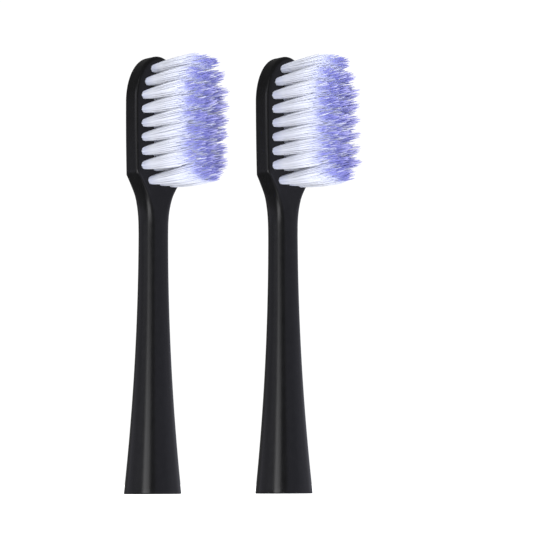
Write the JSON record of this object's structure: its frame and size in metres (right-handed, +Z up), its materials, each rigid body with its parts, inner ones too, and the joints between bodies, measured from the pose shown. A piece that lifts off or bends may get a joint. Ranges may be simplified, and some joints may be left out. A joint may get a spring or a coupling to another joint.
{
  "type": "electric toothbrush replacement brush heads",
  "caption": "Pair of upright replacement brush heads for an electric toothbrush: black tapered necks, with white bristle tufts tipped in violet.",
  "frame": {"origin": "centre of the left head's socket mouth, on the plane both heads stand on", "axes": "+Z up along the necks; +X from the left head to the right head; the bristles point between +X and -Y, 45 degrees from each"},
  "size_m": [0.0396, 0.0176, 0.0743],
  "materials": {
    "black_shell": "satin gloss",
    "seal": "matte",
    "core": "matte",
    "spring_steel": "bright",
    "anchor_brass": "bright",
    "bristle": "satin"
  },
  "bodies": {
    "left_head": {"left_neck_shell": "black_shell", "left_base_seal": "seal", "left_shaft_core": "core", "left_tuft_anchors": "anchor_brass", "left_tufts_row_1": "bristle", "left_tufts_row_2": "bristle", "left_tufts_row_3": "bristle", "left_tufts_row_4": "bristle", "left_tufts_row_5": "bristle", "left_tufts_row_6": "bristle", "left_tufts_row_7": "bristle", "left_tufts_row_8": "bristle", "left_tufts_row_9": "bristle"},
    "left_spring": {"left_retaining_spring": "spring_steel"},
    "right_head": {"right_neck_shell": "black_shell", "right_base_seal": "seal", "right_shaft_core": "core", "right_tuft_anchors": "anchor_brass", "right_tufts_row_1": "bristle", "right_tufts_row_2": "bristle", "right_tufts_row_3": "bristle", "right_tufts_row_4": "bristle", "right_tufts_row_5": "bristle", "right_tufts_row_6": "bristle", "right_tufts_row_7": "bristle", "right_tufts_row_8": "bristle", "right_tufts_row_9": "bristle"},
    "right_spring": {"right_retaining_spring": "spring_steel"}
  },
  "joints": [
    {"name": "right_head_lift", "type": "slide", "parent": "left_head", "child": "right_head", "axis": [0, 0, 1], "range_m": [0, 0.1]},
    {"name": "left_leaf_flex", "type": "hinge", "parent": "left_head", "child": "left_spring", "pos_m": [-0.00133, 0.00133, 0.00685], "axis": [-0.7071, -0.7071, 0], "range_deg": [0, 2], "stiffness_Nm_per_rad": 0.02},
    {"name": "right_leaf_flex", "type": "hinge", "parent": "right_head", "child": "right_spring", "pos_m": [0.02067, 0.00133, 0.00685], "axis": [-0.7071, -0.7071, 0], "range_deg": [0, 2], "stiffness_Nm_per_rad": 0.02}
  ]
}
